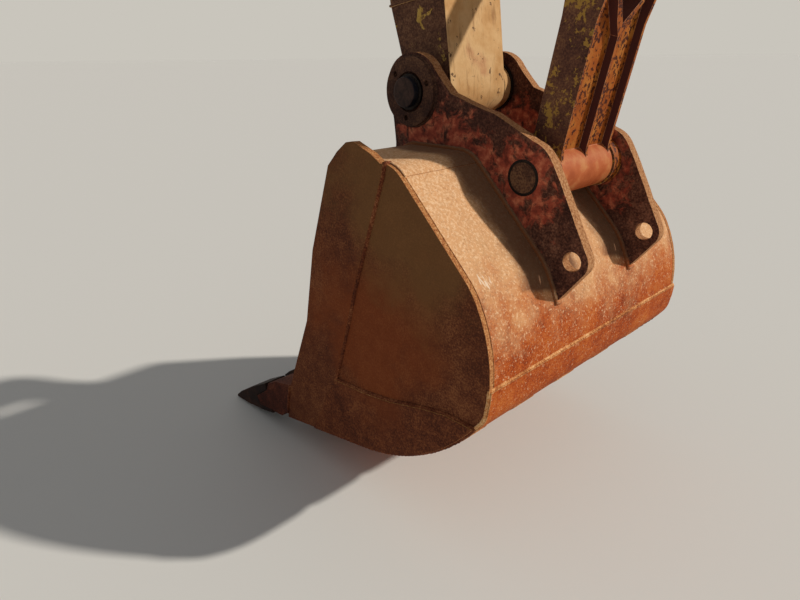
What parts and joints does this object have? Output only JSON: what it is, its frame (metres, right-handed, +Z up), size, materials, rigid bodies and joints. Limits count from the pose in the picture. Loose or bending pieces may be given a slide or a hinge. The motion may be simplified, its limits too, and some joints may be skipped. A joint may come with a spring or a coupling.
{
  "type": "excavator arm with bucket",
  "caption": "Digging arm of a tracked excavator, hanging with its toothed bucket on the ground, with bucket link, rocker levers and the oil cylinder that curls the bucket.",
  "frame": {"origin": "on the axis of the boom pin's bore in the arm, midway between its ends", "axes": "+X away from the machine, +Y towards the machine's left, +Z up, with the arm hanging as the machine parks"},
  "size_m": [1.3633, 1.046, 4.6562],
  "materials": {
    "worn_yellow_enamel": "worn yellow enamel, scratched and stained with rust",
    "orange_enamel": "orange yellow enamel chipped down to brown rust",
    "rusted_plate": "bare hot rolled steel plate under an even coat of rust",
    "primed_rusted_plate": "rusted plate with remains of red primer",
    "cast_tooth_steel": "worn cast steel with brown rust",
    "dark_pin_steel": "dark greasy pin steel",
    "rusted_pipe": "dull brown steel pipe",
    "chromed_rod": "ground and chromed rod"
  },
  "bodies": {
    "arm": {"arm_side_plates": "worn_yellow_enamel", "arm_inner_plate": "worn_yellow_enamel", "arm_outer_plate": "worn_yellow_enamel", "arm_end_plate": "worn_yellow_enamel", "arm_nose": "worn_yellow_enamel", "boom_boss": "worn_yellow_enamel", "rocker_boss": "worn_yellow_enamel", "tail_ears": "worn_yellow_enamel", "base_lugs": "worn_yellow_enamel", "rocker_pin": "dark_pin_steel", "base_pin": "dark_pin_steel"},
    "bucket": {"bucket_wrapper": "rusted_plate", "hinge_box": "rusted_plate", "rear_side_plates": "rusted_plate", "front_side_plates": "rusted_plate", "side_wear_plates": "rusted_plate", "heel_band": "rusted_plate", "floor_strips": "rusted_plate", "lip_plate": "rusted_plate", "tooth_adapters": "cast_tooth_steel", "tooth_tips": "cast_tooth_steel", "bucket_ears": "primed_rusted_plate", "ear_collars": "primed_rusted_plate", "bucket_pin": "dark_pin_steel", "link_pin": "dark_pin_steel"},
    "link": {"bucket_link": "orange_enamel", "fork_pins": "dark_pin_steel"},
    "rocker": {"rocker_levers": "worn_yellow_enamel", "rocker_stubs": "dark_pin_steel"},
    "barrel": {"barrel_tube": "worn_yellow_enamel", "barrel_head": "worn_yellow_enamel", "barrel_base": "worn_yellow_enamel", "oil_pipe": "rusted_pipe", "pipe_clamps": "rusted_pipe"},
    "rod": {"piston_rod": "chromed_rod", "rod_eye": "worn_yellow_enamel", "rod_eye_pin": "dark_pin_steel"}
  },
  "joints": [
    {"name": "bucket_curl", "type": "hinge", "parent": "arm", "child": "bucket", "pos_m": [0.36185, 0, -2.5747], "axis": [0, 1, 0], "range_deg": [-72, 95]},
    {"name": "link_swing", "type": "hinge", "parent": "bucket", "child": "link", "pos_m": [0.76596, 0, -2.77267], "axis": [0, 1, 0], "range_deg": [-55.15, 42.04]},
    {"name": "rocker_swing", "type": "hinge", "parent": "arm", "child": "rocker", "pos_m": [0.2824, 0, -2.12437], "axis": [0, 1, 0], "range_deg": [-43.48, 57.05]},
    {"name": "cylinder_swing", "type": "hinge", "parent": "arm", "child": "barrel", "pos_m": [0.42822, 0, -0.00041], "axis": [0, 1, 0], "range_deg": [-2.66, 3.35]},
    {"name": "rod_slide", "type": "slide", "parent": "barrel", "child": "rod", "axis": [0.1999, 0, -0.9798], "range_m": [-0.381, 0.5014]}
  ],
  "couplings": [
    {"joint": "link_swing", "follows": "bucket_curl", "ratio": -0.57},
    {"joint": "rocker_swing", "follows": "bucket_curl", "ratio": 0.59},
    {"joint": "cylinder_swing", "follows": "bucket_curl", "ratio": 0.03},
    {"joint": "rod_slide", "follows": "bucket_curl", "m_per_rad": 0.3}
  ]
}
